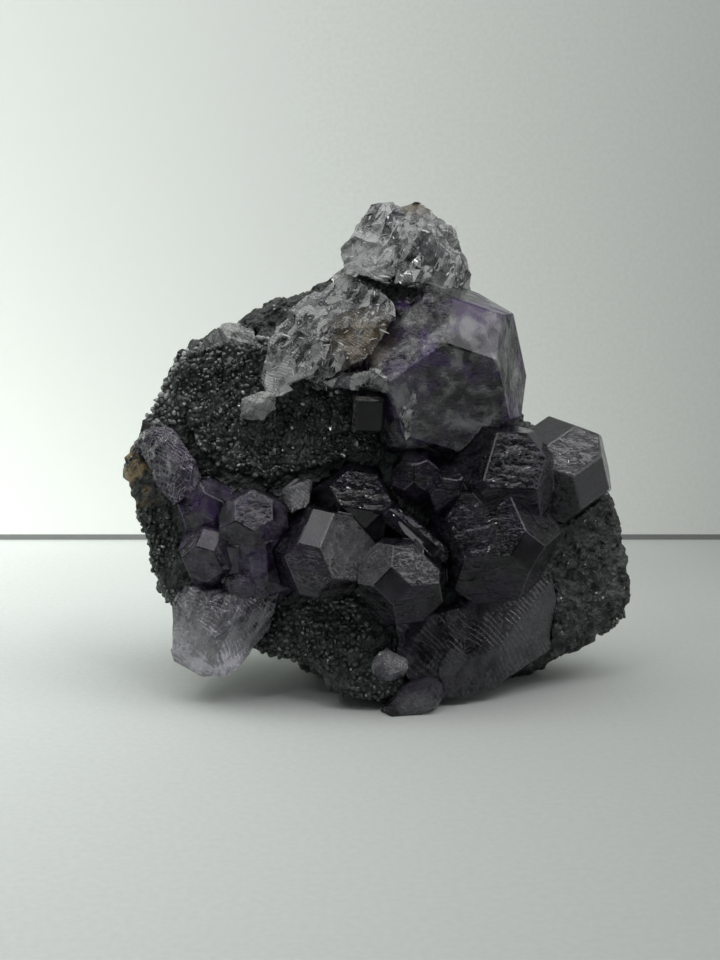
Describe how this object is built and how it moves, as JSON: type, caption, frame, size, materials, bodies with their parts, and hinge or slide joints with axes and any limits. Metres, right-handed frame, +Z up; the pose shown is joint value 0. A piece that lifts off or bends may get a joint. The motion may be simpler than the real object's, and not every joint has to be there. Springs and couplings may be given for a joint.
{
  "type": "purple fluorite crystal cluster on dark chloritic matrix",
  "caption": "Hand-sized natural cluster of dark purple, many-faced fluorite crystals grown on a broken lump of dark green-grey rock with a hollow of fine druse.",
  "frame": {"origin": "under the middle of the piece's bounding box, on the surface it stands on", "axes": "+Z up as it stands in the picture, -Y towards the viewer (the crystal side), +X to the viewer's right"},
  "size_m": [0.0934, 0.0498, 0.0875],
  "materials": {
    "dark_rock": "rough, broken, with a fine sparkle",
    "dark_druse": "fine glittering crystals",
    "purple_fluorite": "see-through, dark purple, smooth square faces and etched large faces",
    "lilac_fluorite": "see-through, lilac with cloudy veils",
    "clear_fluorite": "nearly clear, broken along its cleavage"
  },
  "bodies": {
    "root": {"host_rock": "dark_rock", "druse_crust": "dark_druse", "lower_fluorite": "purple_fluorite", "upper_fluorite": "purple_fluorite", "left_fluorite": "lilac_fluorite", "edge_fluorite": "lilac_fluorite", "toe_fluorite": "purple_fluorite", "bead_fluorite": "clear_fluorite", "hollow_fluorite": "purple_fluorite", "strip_fluorite": "purple_fluorite", "hollow_tip_fluorite": "clear_fluorite", "ridge_fluorite": "clear_fluorite"}
  },
  "joints": []
}
